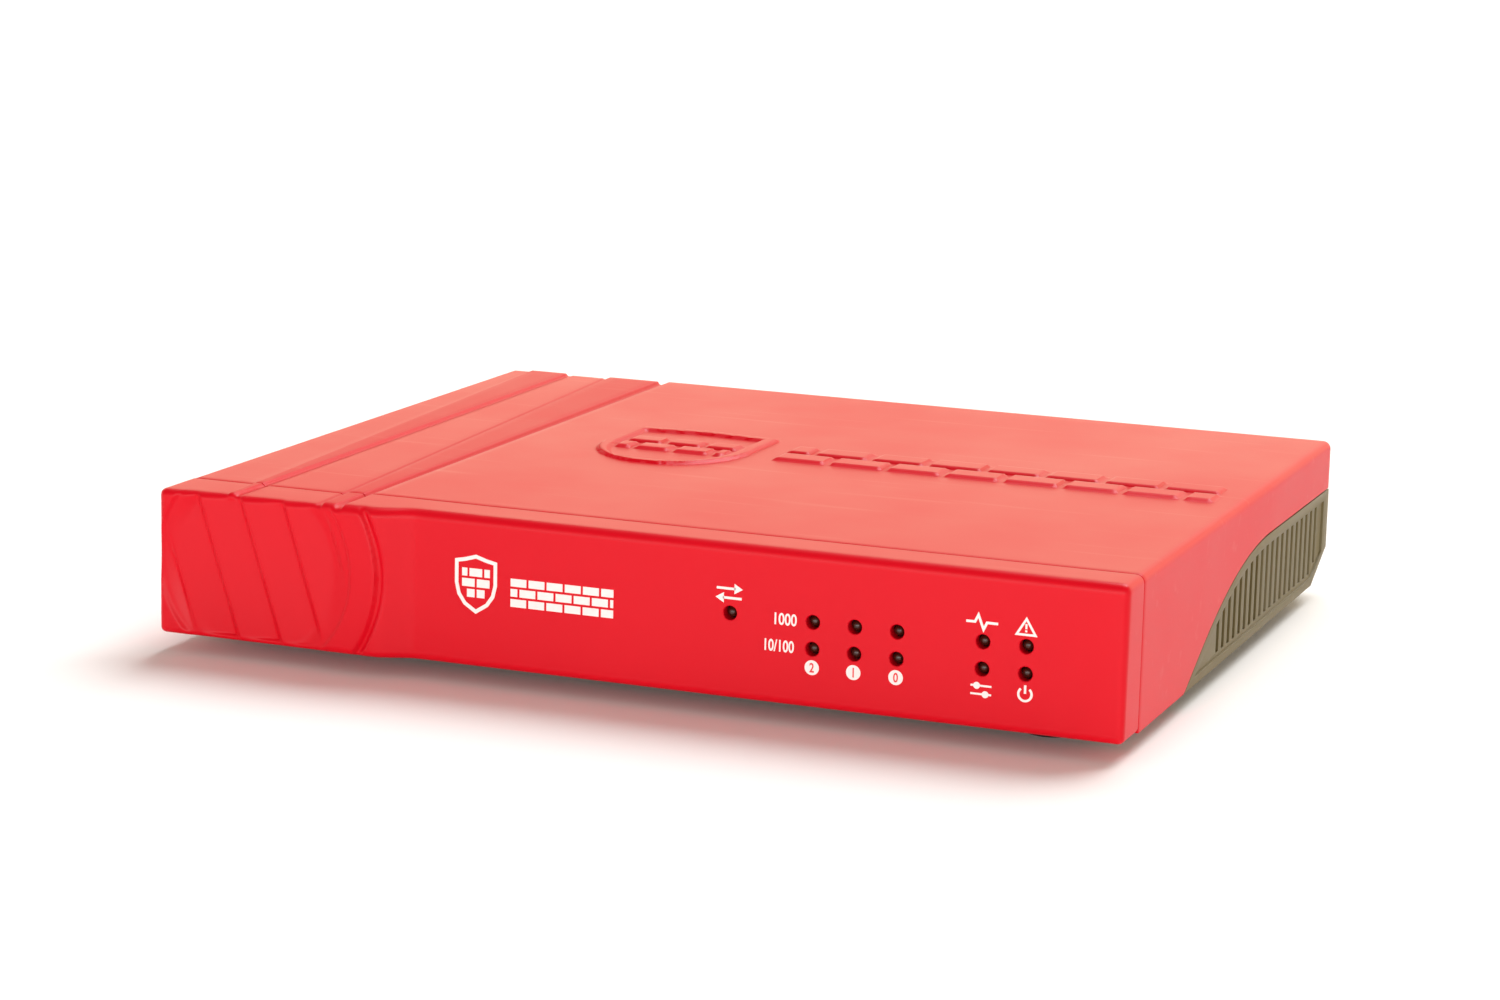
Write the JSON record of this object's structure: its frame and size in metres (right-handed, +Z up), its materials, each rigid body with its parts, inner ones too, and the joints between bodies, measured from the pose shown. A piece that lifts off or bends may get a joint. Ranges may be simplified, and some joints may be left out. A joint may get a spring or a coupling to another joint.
{
  "type": "firewall appliance",
  "caption": "Flat desktop network firewall: red plastic case on a grey vented base, indicator lights in front, sockets, rocker switch and reset button behind.",
  "frame": {"origin": "on the table, under the middle of the appliance's bounding box", "axes": "+Z up, front with the lights towards -Y, +X to the right along the front"},
  "size_m": [0.188, 0.1548, 0.0318],
  "materials": {
    "red_plastic": "fine moulded grain, satin",
    "taupe_plastic": "fine moulded grain, matt",
    "dark_plastic": "matt dark grey",
    "foot_rubber": "soft, matt",
    "screw_steel": "zinc plated",
    "board_laminate": "green solder mask",
    "chip_epoxy": "moulded epoxy",
    "pad_silicone": "soft silicone",
    "sink_aluminium": "extruded",
    "capacitor_sleeve": "shrunk sleeve",
    "light_lens": "tinted epoxy, unlit",
    "black_plastic": "moulded",
    "shell_steel": "nickel plated",
    "white_plastic": "moulded"
  },
  "bodies": {
    "chassis": {"base_case": "taupe_plastic", "top_cover": "red_plastic", "front_bezel": "red_plastic", "rear_panel": "dark_plastic", "foot_1": "foot_rubber", "foot_2": "foot_rubber", "foot_3": "foot_rubber", "foot_4": "foot_rubber", "case_screw_1": "screw_steel", "case_screw_2": "screw_steel", "case_screw_3": "screw_steel", "case_screw_4": "screw_steel", "board_screw_1": "screw_steel", "board_screw_2": "screw_steel", "board_screw_3": "screw_steel", "board_screw_4": "screw_steel", "main_board": "board_laminate", "processor": "chip_epoxy", "thermal_pad": "pad_silicone", "heat_sink": "sink_aluminium", "ethernet_switch_chip": "chip_epoxy", "memory_chip": "chip_epoxy", "flash_chip": "chip_epoxy", "power_inductor": "chip_epoxy", "bulk_capacitor": "capacitor_sleeve", "light_holder_fail_over": "black_plastic", "light_holder_2": "black_plastic", "light_holder_1": "black_plastic", "light_holder_0": "black_plastic", "light_holder_status": "black_plastic", "light_holder_attention": "black_plastic", "light_fail_over": "light_lens", "light_1000_port_2": "light_lens", "light_100_port_2": "light_lens", "light_1000_port_1": "light_lens", "light_100_port_1": "light_lens", "light_1000_port_0": "light_lens", "light_100_port_0": "light_lens", "light_status": "light_lens", "light_mode": "light_lens", "light_attention": "light_lens", "light_power": "light_lens", "ethernet_jack_0_shell": "shell_steel", "ethernet_jack_0_insert": "black_plastic", "ethernet_jack_1_shell": "shell_steel", "ethernet_jack_1_insert": "black_plastic", "ethernet_jack_2_shell": "shell_steel", "ethernet_jack_2_insert": "black_plastic", "console_jack_shell": "shell_steel", "console_jack_insert": "black_plastic", "usb_socket_shell": "shell_steel", "usb_socket_insert": "white_plastic", "dc_jack_body": "black_plastic", "dc_jack_pin": "shell_steel", "power_switch_body": "black_plastic", "reset_switch_body": "black_plastic"},
    "power_rocker": {"power_switch_rocker": "black_plastic"},
    "reset_button": {"reset_button": "white_plastic"}
  },
  "joints": [
    {"name": "power_rocker_tilt", "type": "hinge", "parent": "chassis", "child": "power_rocker", "pos_m": [0.052, 0.0754, 0.0216], "axis": [0, 0, 1], "range_deg": [0, 16]},
    {"name": "reset_button_press", "type": "slide", "parent": "chassis", "child": "reset_button", "axis": [0, -1, 0], "range_m": [0, 0.0008], "stiffness_N_per_m": 1500, "springref_m": -0.0004}
  ]
}
